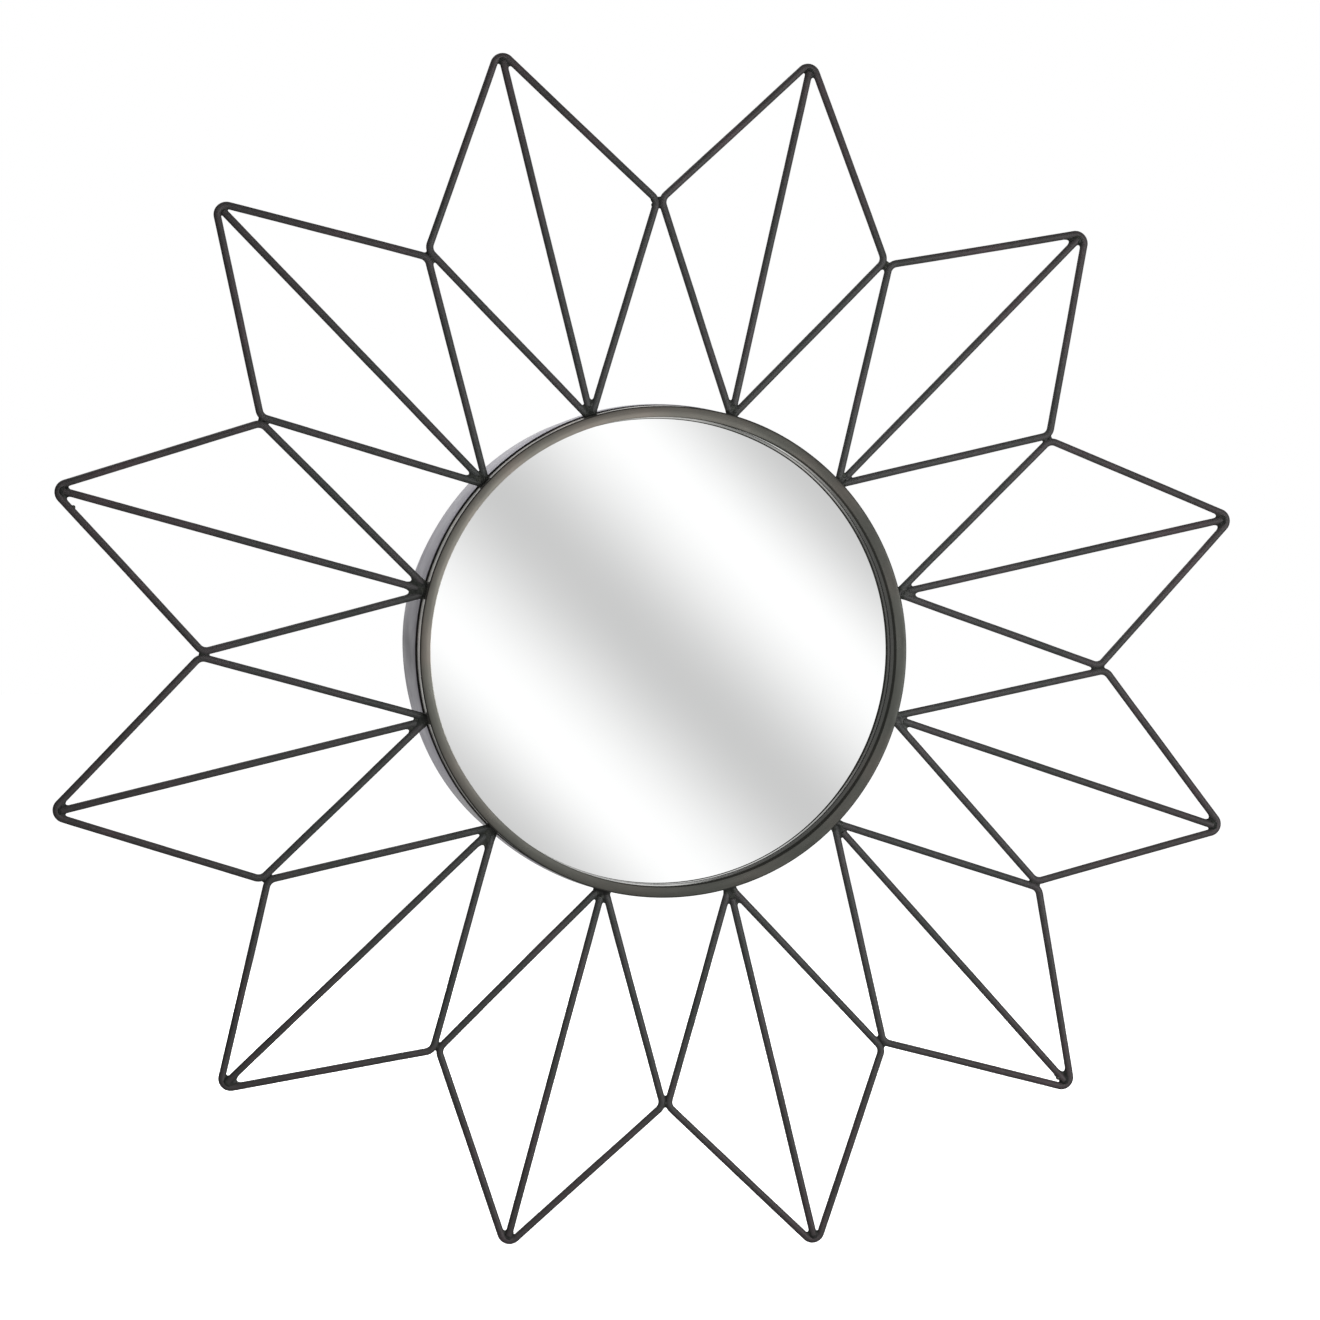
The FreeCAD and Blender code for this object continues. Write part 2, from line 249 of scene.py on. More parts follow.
# ------------------------------------------------------------------ materials
def wire_coat():
    """satin charcoal coating with a fine orange-peel, and a faint purple-brown cast towards the tips"""
    n = Nodes("wire_coat")
    n.set(Metallic=0.0, IOR=1.30)
    broad = n.noise(34.0, 3, 0.55)
    fine = n.noise(260.0, 2, 0.55)
    tone = n.ramp(broad, [(0.34, (0.0250, 0.0270, 0.0262)), (0.50, (0.0290, 0.0292, 0.0288)), (0.67, (0.0335, 0.0302, 0.0315))])
    grain = n.ramp(fine, [(0.30, (0.84, 0.84, 0.84)), (0.72, (1.12, 1.12, 1.12))])
    color = n.times(tone, grain, 0.7)
    cast = n.span(n.math("ADD", n.radius(), n.math("MULTIPLY", n.noise(16.0, 2, 0.5), 0.06)), 0.0, 1.0, 0.305, 0.365)
    color = n.times(color, n.mix(cast, (1.0, 1.0, 1.0), (1.09, 0.96, 0.99)))
    rough = n.span(n.noise(60.0, 2, 0.5), 0.38, 0.52, 0.3, 0.7)
    nrm = n.bump(n.noise(300.0, 1, 0.5), 0.045, 0.0004)
    nrm = n.bump(n.noise(90.0, 2, 0.5), 0.05, 0.0012, nrm)
    return n.put(color, rough, nrm)


def weld_coat(name="weld_coat", gain=1.0, ior=1.38):
    """the same coating over lumpy weld metal: blacker, slightly green, with scale"""
    n = Nodes(name)
    n.set(Metallic=0.0, IOR=ior)
    broad = n.noise(210.0, 4, 0.6)
    stops = [(0.34, (0.006, 0.007, 0.006)), (0.52, (0.011, 0.012, 0.0105)), (0.70, (0.026, 0.028, 0.022))]
    color = n.ramp(broad, [(p, tuple(v * gain for v in c)) for p, c in stops])
    # painted shade darkens the hollows and painted light makes the ridges paler, both read from the hollow attribute
    painted_shading = n.t.nodes.new("ShaderNodeAttribute")
    painted_shading.attribute_name = "hollow"
    up = n.t.nodes.new("ShaderNodeVectorMath")
    up.operation = "SCALE"
    n.link(color, up.inputs[0])
    n.link(n.span(painted_shading.outputs["Fac"], 1.5, 0.15, -1.0, 1.0), up.inputs["Scale"])
    color = up.outputs[0]
    rough = n.span(n.noise(260.0, 3, 0.6), 0.32, 0.60, 0.3, 0.7)
    nrm = n.bump(n.noise(420.0, 4, 0.6), 0.45, 0.0007)
    nrm = n.bump(n.voronoi(520.0), 0.25, 0.0005, nrm)
    return n.put(color, rough, nrm)


def rim_metal(name="rim_metal", gain=1.07, rough_lo=0.26, rough_hi=0.38, pale=1.3, patchy=0.0, metal=0.85, gloss=0.5):
    """warm grey gunmetal, satin, with faint turned rings and mottling; painted light makes it paler on the upper left
    """
    n = Nodes(name)
    n.set(Metallic=metal, Specular_IOR_Level=gloss)
    ringv = n.ring_coords(620.0, 420.0, 22.0)
    rings = n.noise(1.0, 1, 0.5, ringv)
    mott = n.noise(26.0, 2, 0.5)
    stops = [(0.30, (0.128, 0.130, 0.117)), (0.50, (0.147, 0.145, 0.130)), (0.72, (0.176, 0.160, 0.143))]
    base = n.ramp(mott, [(p, tuple(v * gain for v in c)) for p, c in stops])
    streak = n.ramp(rings, [(0.30, (0.93, 0.93, 0.93)), (0.70, (1.06, 1.06, 1.05))])
    color = n.times(base, streak, 0.75)
    x, y, z = n.xyz()
    # painted light: paler from the upper left, fading round the ring, strongest at the inner edge and fading towards
    # the outer edge, with a faint warm tint
    corner = n.math("ADD", n.math("MULTIPLY", x, -5.43), n.math("MULTIPLY", z, 3.52))
    painted_light_mask = n.math("POWER", n.span(corner, 0.0, 1.0, -0.6, 0.95), 1.4)
    r = n.radius()
    across = n.math("MULTIPLY", n.span(r, 1.50, 1.0, 0.1522, 0.1536), n.math("MULTIPLY", n.span(r, 1.0, 0.90, 0.1535, 0.1561), n.span(r, 1.0, 0.0, 0.1561, 0.1573)))
    lift = n.math("ADD", n.math("MULTIPLY", n.math("MULTIPLY", painted_light_mask, across), pale), 1.0)
    color = n.times(color, n.mix(painted_light_mask, (0.978, 1.0, 1.0), (1.02, 0.992, 0.975)))
    if pale:
        # a faint brighter patch at the right
        patch = n.span(n.math("ABSOLUTE", n.math("SUBTRACT", z, 0.013)), 0.16, -0.07, 0.0, 0.06)
        lift = n.math("MULTIPLY", lift, n.math("ADD", n.math("MULTIPLY", patch, n.span(x, 0.0, 1.0, 0.02, 0.08)), 1.0))
    if patchy:
        lift = n.math("MULTIPLY", lift, n.span(n.noise(38.0, 3, 0.6), 1.0 - patchy, 1.0 + patchy, 0.35, 0.65))
    up = n.t.nodes.new("ShaderNodeVectorMath")
    up.operation = "SCALE"
    n.link(color, up.inputs[0])
    n.link(lift, up.inputs["Scale"])
    rough = n.span(n.noise(60.0, 2, 0.5), rough_lo, rough_hi, 0.3, 0.7)
    nrm = n.bump(rings, 0.012, 0.0003)
    nrm = n.bump(n.noise(160.0, 1, 0.5), 0.012, 0.0005, nrm)
    return n.put(up.outputs[0], rough, nrm)


def drum_metal(name="drum_metal", straight=False):
    """cool grey satin metal of the deep hoop, rolled sheet with marks along its run"""
    n = Nodes(name)
    n.set(Metallic=0.8)
    ringv = n.stretch((30.0, 900.0, 1500.0)) if straight else n.ring_coords(1500.0, 900.0, 30.0)
    rings = n.noise(1.0, 4, 0.6, ringv)
    mott = n.noise(22.0, 4, 0.6)
    base = n.ramp(mott, [(0.30, (0.205, 0.199, 0.226)), (0.52, (0.245, 0.239, 0.267)), (0.74, (0.290, 0.284, 0.306))])
    streak = n.ramp(rings, [(0.30, (0.84, 0.84, 0.84)), (0.70, (1.12, 1.12, 1.12))])
    color = n.times(base, streak, 0.8)
    # painted light: darker at the middle height of the sides, paler above and below, palest towards the bottom
    x, y, z = n.xyz()
    painted_shading = n.math("MULTIPLY", n.span(n.math("ABSOLUTE", z), 1.10, 2.1, 0.004, 0.045), n.span(z, 2.0, 1.0, -0.095, -0.03))
    up = n.t.nodes.new("ShaderNodeVectorMath")
    up.operation = "SCALE"
    n.link(color, up.inputs[0])
    n.link(painted_shading, up.inputs["Scale"])
    rough = n.span(n.noise(60.0, 4, 0.6), 0.30, 0.44, 0.3, 0.7)
    broad = n.noise(1.0, 1, 0.5, n.stretch((18.0, 220.0, 500.0)) if straight else n.ring_coords(500.0, 220.0, 18.0))
    nrm = n.bump(broad, 0.03, 0.0004)
    nrm = n.bump(n.noise(90.0, 1, 0.5), 0.03, 0.0005, nrm)
    return n.put(up.outputs[0], rough, nrm)


def mirror_silver():
    """silvered glass: near-perfect reflection with the faintest haze"""
    n = Nodes("mirror_silver")
    n.set(Metallic=1.0)
    haze = n.noise(14.0, 4, 0.6)
    color = n.ramp(haze, [(0.30, (0.955, 0.962, 0.960)), (0.70, (0.970, 0.974, 0.972))])
    rough = n.span(n.noise(40.0, 4, 0.65), 0.004, 0.014, 0.3, 0.7)
    nrm = n.bump(n.noise(3.0, 1, 0.4), 0.004, 0.0005)
    return n.put(color, rough, nrm)


def glass_edge():
    """ground edge and back paint of the glass"""
    n = Nodes("glass_edge")
    color = n.ramp(n.noise(180.0, 4, 0.6), [(0.3, (0.24, 0.33, 0.29)), (0.7, (0.40, 0.50, 0.45))])
    rough = n.span(n.noise(300.0, 3, 0.6), 0.30, 0.55, 0.3, 0.7)
    return n.put(color, rough, n.bump(n.noise(900.0, 3, 0.6), 0.2, 0.0003))


def rubber():
    n = Nodes("seal_rubber")
    color = n.ramp(n.noise(150.0, 4, 0.6), [(0.3, (0.010, 0.010, 0.010)), (0.7, (0.026, 0.026, 0.025))])
    rough = n.span(n.noise(120.0, 4, 0.6), 0.55, 0.8, 0.3, 0.7)
    return n.put(color, rough, n.bump(n.noise(800.0, 3, 0.6), 0.25, 0.0003))


def felt():
    n = Nodes("felt")
    n.set(Sheen_Weight=0.3)
    color = n.ramp(n.noise(500.0, 5, 0.7), [(0.3, (0.07, 0.07, 0.072)), (0.7, (0.16, 0.16, 0.158))])
    rough = n.span(n.noise(300.0, 4, 0.6), 0.85, 1.0, 0.3, 0.7)
    return n.put(color, rough, n.bump(n.noise(1400.0, 4, 0.7), 0.6, 0.0005))


def fibreboard():
    """raw hardboard: brown, with pressed fibres and darker flecks"""
    n = Nodes("fibreboard")
    fibres = n.noise(1.0, 6, 0.7, n.stretch((260.0, 260.0, 900.0)), 1.2)
    flecks = n.voronoi(420.0)
    broad = n.noise(7.0, 4, 0.6)
    base = n.ramp(fibres, [(0.28, (0.150, 0.084, 0.042)), (0.5, (0.235, 0.140, 0.074)), (0.74, (0.330, 0.212, 0.122))])
    tint = n.ramp(broad, [(0.3, (0.82, 0.80, 0.78)), (0.7, (1.10, 1.10, 1.10))])
    color = n.mix(n.span(flecks, 0.5, 0.0, 0.02, 0.20), n.times(base, tint), (0.075, 0.042, 0.022))
    rough = n.span(fibres, 0.68, 0.90, 0.3, 0.7)
    return n.put(color, rough, n.bump(fibres, 0.35, 0.0006))


def zinc():
    """zinc-plated hardware: pale, with a soft spangle and a faint yellow passivation"""
    n = Nodes("zinc_plate")
    n.set(Metallic=1.0)
    cells = n.voronoi(330.0)
    cloud = n.noise(120.0, 4, 0.6)
    base = n.ramp(cloud, [(0.30, (0.50, 0.50, 0.49)), (0.55, (0.60, 0.60, 0.585)), (0.75, (0.68, 0.665, 0.615))])
    spangle = n.ramp(cells, [(0.0, (1.08, 1.08, 1.08)), (0.5, (0.86, 0.86, 0.86))])
    color = n.times(base, spangle, 0.8)
    rough = n.span(n.noise(400.0, 4, 0.6), 0.26, 0.46, 0.3, 0.7)
    return n.put(color, rough, n.bump(n.noise(900.0, 3, 0.6), 0.15, 0.0003))


M = {
    "wire": wire_coat(), "weld": weld_coat(), "hub_weld": weld_coat("hub_weld_coat", 1.7, 1.46), "rim": rim_metal(),
    # rim_shade is painted shade: a dark, unglossy coat on the wall behind the lip; rim_edge_line is painted shade on
    # the lip's outer rounding
    "wall": rim_metal("rim_wall", 2.6, 0.10, 0.18, 0.0), "shade": rim_metal("rim_shade", 0.85, 0.50, 0.62, 0.0, 0.0, 0.0, 0.0),
    "edge_line": rim_metal("rim_edge_line", 0.34, 0.34, 0.46, 0.0, 0.0, 0.4),
    "skirt": rim_metal("rim_skirt", 2.9, 0.18, 0.28, 0.0, 0.45), "drum": drum_metal(), "bar": drum_metal("bar_metal", True),
    "mirror": mirror_silver(), "edge": glass_edge(), "seal": rubber(), "felt": felt(),
    "board": fibreboard(), "zinc": zinc(),
}


# ------------------------------------------------------------------ mesh helpers
def add_mesh(name, verts, faces, mats, smooth=True, mat_index=None):
    me = bpy.data.meshes.new(name)
    me.from_pydata([tuple(v) for v in verts], [], [tuple(f) for f in faces])
    for m in mats:
        me.materials.append(m)
    if smooth:
        me.polygons.foreach_set("use_smooth", [True] * len(me.polygons))
    if mat_index is not None:
        me.polygons.foreach_set("material_index", mat_index)
    me.validate()
    me.update()
    ob = bpy.data.objects.new(name, me)
    bpy.context.scene.collection.objects.link(ob)
    return ob


def stand_for(ob, slot, *nodes):
    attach(ob, "frame")
    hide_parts(*nodes)
    return ob


def at(r, deg):
    a = math.radians(deg)
    return np.array([r * math.cos(a), r * math.sin(a)])


def unit(v):
    return v / np.linalg.norm(v)


def bend(p, a, b, r, n):
    """points of the bend at p between straight runs to a and b"""
    u, w = unit(a - p), unit(b - p)
    half = math.acos(float(np.clip(u @ w, -1, 1))) / 2
    centre = p + unit(u + w) * (r / math.sin(half))
    s, e = p + u * (r / math.tan(half)), p + w * (r / math.tan(half))
    a0 = math.atan2(*(s - centre)[::-1])
    a1 = math.atan2(*(e - centre)[::-1])
    d = (a1 - a0 + math.pi) % (2 * math.pi) - math.pi
    return [centre + r * np.array([math.cos(a0 + d * k / n), math.sin(a0 + d * k / n)]) for k in range(n + 1)]


def along(a, b, step):
    n = max(1, int(np.linalg.norm(b - a) / step))
    return [a + (b - a) * k / n for k in range(1, n)]


def tube(path, radius, sides=24, wobble=0.0, oval=None, seed=0):
    """round wire along a path in the petal plane; path is (x, z) in mm. Ends are rounded over."""
    path = np.array(path)
    n = len(path)
    tan = np.zeros_like(path)
    tan[1:-1] = path[2:] - path[:-2]
    tan[0], tan[-1] = path[1] - path[0], path[-1] - path[-2]
    tan /= np.linalg.norm(tan, axis=1)[:, None]
    nor = np.stack([-tan[:, 1], tan[:, 0]], 1)
    length = np.r_[0, np.cumsum(np.linalg.norm(np.diff(path, axis=0), axis=1))]
    g = np.random.default_rng(seed)
    ph = g.uniform(0, 2 * math.pi, 8)
    fr = np.array([0.021, 0.037, 0.061, 0.093])
    side = wobble * sum(np.sin(length * f + p) / (k + 1) for k, (f, p) in enumerate(zip(fr, ph[:4])))
    deep = wobble * sum(np.sin(length * f * 1.13 + p) / (k + 1) for k, (f, p) in enumerate(zip(fr, ph[4:])))
    ease = np.clip(np.minimum(length, length[-1] - length) / 25.0, 0, 1)
    centre = path + nor * (side * ease)[:, None]
    deep = deep * ease
    rad = np.full(n, radius) * (1 + 0.008 * np.sin(length * 0.11 + ph[0]) + 0.005 * np.sin(length * 0.37 + ph[1]))
    flat = np.ones(n) if oval is None else np.array(oval)
    verts, faces = [], []

    def ringat(c, nn, y, r, f):
        row = []
        for s in range(sides):
            a = 2 * math.pi * s / sides
            q = c + nn * (math.cos(a) * r * f)
            row.append((q[0] * MM, (PETAL_Y + y + math.sin(a) * r / f) * MM, q[1] * MM))
        return row

    rows = []
    ease_end = 0.5
    quarter = [k / 3 * math.pi / 2 for k in range(4)]
    for q in quarter:
        rows.append(ringat(centre[0] + tan[0] * ease_end * (1 - math.cos(q)), nor[0], deep[0], rad[0] - ease_end * (1 - math.sin(q)), 1.0))
    for i in range(1, n - 1):
        rows.append(ringat(centre[i], nor[i], deep[i], rad[i], flat[i]))
    for q in reversed(quarter):
        rows.append(ringat(centre[-1] - tan[-1] * ease_end * (1 - math.cos(q)), nor[-1], deep[-1], rad[-1] - ease_end * (1 - math.sin(q)), 1.0))
    for row in rows:
        verts += row
    m = len(rows)
    for i in range(m - 1):
        for s in range(sides):
            t = (s + 1) % sides
            faces.append((i * sides + s, i * sides + t, (i + 1) * sides + t, (i + 1) * sides + s))
    for base, end in ((0, 0), (m - 1, -1)):
        c = len(verts)
        y = PETAL_Y + deep[end]
        verts.append((centre[end][0] * MM, y * MM, centre[end][1] * MM))
        for s in range(sides):
            t = (s + 1) % sides
            f = (base * sides + t, base * sides + s, c) if base == 0 else (base * sides + s, base * sides + t, c)
            faces.append(f)
    return verts, faces


def lathe(name, profile, mats, sides=360, wave=0.0, mat_of=None, lean=None):
    """closed profile of (radius, y) in mm turned about Y; lean(angle, radius, y) adds to the radius"""
    n = len(profile)
    g = np.random.default_rng(len(name))
    ph = g.uniform(0, 6.28, 4)
    verts, faces, idx = [], [], []
    for s in range(sides):
        a = 2 * math.pi * s / sides
        w = wave * (math.sin(2 * a + ph[0]) + 0.6 * math.sin(3 * a + ph[1]) + 0.35 * math.sin(7 * a + ph[2]) + 0.2 * math.sin(13 * a + ph[3]))
        for r, y in profile:
            q = r + w + (lean(a, r, y) if lean else 0.0)
            verts.append((q * math.cos(a) * MM, y * MM, q * math.sin(a) * MM))
    for s in range(sides):
        t = (s + 1) % sides
        for k in range(n):
            l = (k + 1) % n
            faces.append((s * n + k, t * n + k, t * n + l, s * n + l))
            idx.append(0 if mat_of is None else mat_of(k))
    return add_mesh(name, verts, faces, mats, True, idx)


def rounded(points, seg=6):
    """profile with corner radii: points are (r, y, corner radius). Adds guard points beside each bend so flats shade flat."""
    out = []
    n = len(points)
    P = [np.array(p[:2], float) for p in points]
    for i in range(n):
        p, a, b = P[i], P[i - 1], P[(i + 1) % n]
        rad = points[i][2]
        u, w = unit(a - p), unit(b - p)
        if rad < 0.05:
            out.append(p)
            continue
        half = math.acos(float(np.clip(u @ w, -1, 1))) / 2
        t = rad / math.tan(half)
        guard = min(0.25, 0.3 * min(np.linalg.norm(a - p), np.linalg.norm(b - p)))
        out.append(p + u * (t + guard))
        c = p + unit(u + w) * (rad / math.sin(half))
        s, e = p + u * t, p + w * t
        a0, a1 = math.atan2(*(s - c)[::-1]), math.atan2(*(e - c)[::-1])
        d = (a1 - a0 + math.pi) % (2 * math.pi) - math.pi
        for k in range(seg + 1):
            out.append(c + rad * np.array([math.cos(a0 + d * k / seg), math.sin(a0 + d * k / seg)]))
        out.append(p + w * (t + guard))
    return [tuple(q) for q in out]


# ------------------------------------------------------------------ petals and spines
# a few spines sit off the petal's middle line: sideways at the hub, at the tip, in mm
SPINE_SHIFT = {0: (0.35, 0.85), 2: (0.30, -0.80), 9: (-1.00, 0.30)}
petal_shapes = []
for i, row in enumerate(PETALS):
    mid = 105.0 - 30.0 * i
    T = at(row[0], mid + row[1])
    L = at(row[2], mid + 15 + row[3])
    R = at(row[4], mid - 15 + row[5])
    H = at(row[6], mid + row[7])
    axis = unit(T - H)

    def angle(u, v):
        return math.acos(float(np.clip(unit(u) @ unit(v), -1, 1)))

    ends = []
    for C in (L, R):
        lean = angle(C - H, H)
        pair = (WIRE_R + 0.06) / math.sin(angle(C - H, axis))
        drum = (LIP_OUT_R + 0.25 + WIRE_R * math.sin(lean) - row[6]) / math.cos(lean)
        ends.append(max(pair, drum))
    S, E = H + unit(L - H) * ends[0], H + unit(R - H) * ends[1]
    bl = bend(L, H, T, SIDE_BEND_R, 14)
    bt = bend(T, L, R, TIP_BEND_R, 20)
    br = bend(R, T, H, SIDE_BEND_R, 14)
    path = [S] + along(S, bl[0], 7.0) + bl + along(bl[-1], bt[0], 7.0) + bt + along(bt[-1], br[0], 7.0) + br + along(br[-1], E, 7.0) + [E]
    v, f = tube(path, COAT_R, 24, 0.08, None, 100 + i)
    ob = add_mesh("petal_wire_%02d_coated" % (i + 1), v, f, [M["wire"]])
    stand_for(ob, "coated_wire", "petal_wire_%02d" % (i + 1))
    start = (2 * WIRE_R + 0.12) / math.sin(min(angle(L - H, axis), angle(R - H, axis)))
    stop = (2 * WIRE_R + 0.12) / math.sin(min(angle(L - T, H - T), angle(R - T, H - T)))
    across = np.array([axis[1], -axis[0]])
    shift = SPINE_SHIFT.get(i, (0.0, 0.0))
    A, B = H + axis * start + across * shift[0], T - axis * stop + across * shift[1]
    v, f = tube([A] + along(A, B, 7.0) + [B], COAT_R, 24, 0.06, None, 200 + i)
    ob = add_mesh("spine_rod_%02d_coated" % (i + 1), v, f, [M["wire"]])
    stand_for(ob, "coated_wire", "spine_rod_%02d" % (i + 1))
    petal_shapes.append(dict(T=T, L=L, R=R, H=H, axis=axis, S=S, E=E, A=A, B=B, bl=bl, bt=bt, br=br, path=np.array(path)))


# ------------------------------------------------------------------ welds as blended surfaces
def surface_nets(F, origin, h):
    """mesh of F = 0 on a regular grid; F < 0 is inside"""
    nx, ny, nz = F.shape
    offs = [(a, b, c) for a in (0, 1) for b in (0, 1) for c in (0, 1)]
    C = [F[a:nx - 1 + a, b:ny - 1 + b, c:nz - 1 + c] for a, b, c in offs]
    cnt = sum((c < 0).astype(np.int8) for c in C)
    act = (cnt > 0) & (cnt < 8)
    ids = -np.ones(act.shape, int)
    where = np.argwhere(act)
    ids[act] = np.arange(len(where))
    vals = [c[act] for c in C]
    pos = np.zeros((len(where), 3))
    num = np.zeros(len(where))
    for p in range(8):
        for bit in (4, 2, 1):
            q = p | bit
            if q == p:
                continue
            va, vb = vals[p], vals[q]
            m = (va < 0) != (vb < 0)
            t = np.where(m, va / np.where(m, va - vb, 1.0), 0.0)
            pa, pb = np.array(offs[p], float), np.array(offs[q], float)
            pos += np.where(m[:, None], pa + t[:, None] * (pb - pa), 0.0)
            num += m
    pos = where + pos / num[:, None]
    quads = []
    for ax in range(3):
        s0 = [slice(1, -1)] * 3
        s1 = [slice(1, -1)] * 3
        s0[ax], s1[ax] = slice(0, -1), slice(1, None)
        a, b = F[tuple(s0)] < 0, F[tuple(s1)] < 0
        for flip in (False, True):
            e = np.argwhere((a & ~b) if not flip else (~a & b))
            if not len(e):
                continue
            e = e + 1
            e[:, ax] -= 1
            u, w = [d for d in range(3) if d != ax]
            around = []
            for du, dw in ((-1, -1), (0, -1), (0, 0), (-1, 0)):
                c = e.copy()
                c[:, u] += du
                c[:, w] += dw
                around.append(ids[c[:, 0], c[:, 1], c[:, 2]])
            q = np.stack(around, 1)
            if (ax == 1) != flip:
                q = q[:, ::-1]
            quads.append(q)
    quads = np.concatenate(quads)
    return np.array(origin) + pos * h, quads


def smooth_mesh(v, quads, times=2, k=0.5):
    n = len(v)
    e = np.concatenate([quads[:, [0, 1]], quads[:, [1, 2]], quads[:, [2, 3]], quads[:, [3, 0]]])
    for _ in range(times):
        acc = np.zeros_like(v)
        cnt = np.zeros(n)
        for a, b in ((0, 1), (1, 0)):
            np.add.at(acc, e[:, a], v[e[:, b]])
            np.add.at(cnt, e[:, a], 1)
        v = v * (1 - k) + k * acc / cnt[:, None]
    return v


def dist_to(path, P):
    """distance in the petal plane from grid points P (..., 2) to a polyline"""
    best = np.full(P.shape[:-1], 1e9)
    for a, b in zip(path[:-1], path[1:]):
        ab = b - a
        t = np.clip(((P - a) @ ab) / (ab @ ab), 0, 1)
        d = P - (a + t[..., None] * ab)
        best = np.minimum(best, np.sqrt((d ** 2).sum(-1)))
    return best


def inside(outline, P):
    """even-odd test of grid points P against a closed outline"""
    odd = np.zeros(P.shape[:-1], bool)
    for a, b in zip(outline, np.roll(outline, -1, axis=0)):
        cut = (a[1] > P[..., 1]) != (b[1] > P[..., 1])
        x = a[0] + (P[..., 1] - a[1]) * (b[0] - a[0]) / (b[1] - a[1] if b[1] != a[1] else 1e-9)
        odd ^= cut & (P[..., 0] < x)
    return odd


def smin(a, b, k):
    h = np.maximum(k - np.abs(a - b), 0) / k
    return np.minimum(a, b) - h * h * k / 4


def soften(A, sigma):
    """Gaussian blur of a grid, sigma in cells"""
    n = int(2.5 * sigma) + 1
    k = np.exp(-0.5 * (np.arange(-n, n + 1) / sigma) ** 2)
    k /= k.sum()
    for ax in range(3):
        B = np.moveaxis(A, ax, 0)
        B = np.concatenate([np.repeat(B[:1], n, 0), B, np.repeat(B[-1:], n, 0)])
        A = np.moveaxis(sum(w * B[j:j + A.shape[ax]] for j, w in enumerate(k)), 0, ax)
    return A


def read_grid(A, g):
    """value of a grid at points given in cells"""
    i = np.clip(g.astype(int), 0, np.array(A.shape) - 2)
    f = g - i
    out = 0
    for dx in (0, 1):
        for dy in (0, 1):
            for dz in (0, 1):
                w = (f[:, 0] if dx else 1 - f[:, 0]) * (f[:, 1] if dy else 1 - f[:, 1]) * (f[:, 2] if dz else 1 - f[:, 2])
                out = out + w * A[i[:, 0] + dx, i[:, 1] + dy, i[:, 2] + dz]
    return out


def weld_mesh(centre, e1, size, wires, blends, blobs, region, h=0.36, skirt=False, skirt_k=2.0, fence=None, ridges=()):
    """wires: polylines in the petal plane; blends: list of (i, j, k) fillets; blobs: (x, z, y, r) lumps;
    region: (radius in the plane, half depth); fence: outline of the wire that the metal stays within;
    ridges: lines along which the metal keeps the wire's own shape"""
    e2 = np.array([-e1[1], e1[0]])
    a = np.arange(-size[0], size[1] + h, h)
    b = np.arange(-size[2], size[2] + h, h)
    c = np.arange(-size[3], size[3] + h, h)
    P = centre + a[:, None, None] * e1 + b[None, :, None] * e2
    D = [np.sqrt(dist_to(w, P)[..., None] ** 2 + (FILL_FLAT * c) ** 2) - FILL_R for w in wires]
    F = D[0]
    for i, j, k in blends:
        F = smin(F, D[j], k)
    for x, z, y, r in blobs:
        d = np.sqrt(((P - np.array([x, z])) ** 2).sum(-1)[..., None] + (c - y) ** 2) - r
        F = smin(F, d, 0.8)
    for w in ridges:
        F = smin(F, np.sqrt(dist_to(w, P)[..., None] ** 2 + c ** 2) - (COAT_R + 0.03), 0.6)
    if skirt:
        rc = np.sqrt((P ** 2).sum(-1))[..., None] + 0 * c
        F = smin(F, rc - (LIP_OUT_R - 0.22), skirt_k)
    solid = soften(np.clip(0.5 - F / h, 0, 1), 1.3 / h)
    if skirt:
        F = np.maximum(F, (LIP_OUT_R - 0.95) - rc)
    if fence is not None:
        d = dist_to(fence, P)
        F = np.maximum(F, (np.where(inside(fence, P), -d, d) + 0.5)[..., None])
    reach = np.sqrt((((P - centre) ** 2).sum(-1)[..., None]) / region[0] ** 2 + c ** 2 / region[1] ** 2)
    F = np.maximum(F, (reach - 1) * min(region))
    F[0], F[-1] = np.maximum(F[0], 0.1), np.maximum(F[-1], 0.1)
    F[:, 0], F[:, -1] = np.maximum(F[:, 0], 0.1), np.maximum(F[:, -1], 0.1)
    F[:, :, 0], F[:, :, -1] = np.maximum(F[:, :, 0], 0.1), np.maximum(F[:, :, -1], 0.1)
    v, q = surface_nets(F, (-size[0], -size[2], -size[3]), h)
    v = smooth_mesh(v, q, 2, 0.5)
    xz = centre + v[:, :1] * e1 + v[:, 1:2] * e2
    world = np.stack([xz[:, 0], PETAL_Y + v[:, 2], xz[:, 1]], 1) * MM
    # -1 on a ridge, 0 on a plain wire, 1 deep in a hollow; the weld coat paints shade into the hollows and light onto
    # the ridges from this
    hollow = np.clip((read_grid(solid, (v + np.array([size[0], size[2], size[3]])) / h) - 0.40) / 0.14, -1, 1)
    return world, q, hollow


def join(name, chunks, mat, slot, node):
    verts, faces, base = [], [], 0
    for v, q, hollow in chunks:
        verts.append(v)
        faces.append(q + base)
        base += len(v)
    ob = add_mesh(name, np.concatenate(verts), np.concatenate(faces), [mat])
    depth = np.concatenate([c[2] for c in chunks])
    ob.data.attributes.new("hollow", "FLOAT", "POINT").data.foreach_set("value", depth.astype(np.float32))
    return stand_for(ob, slot, node)


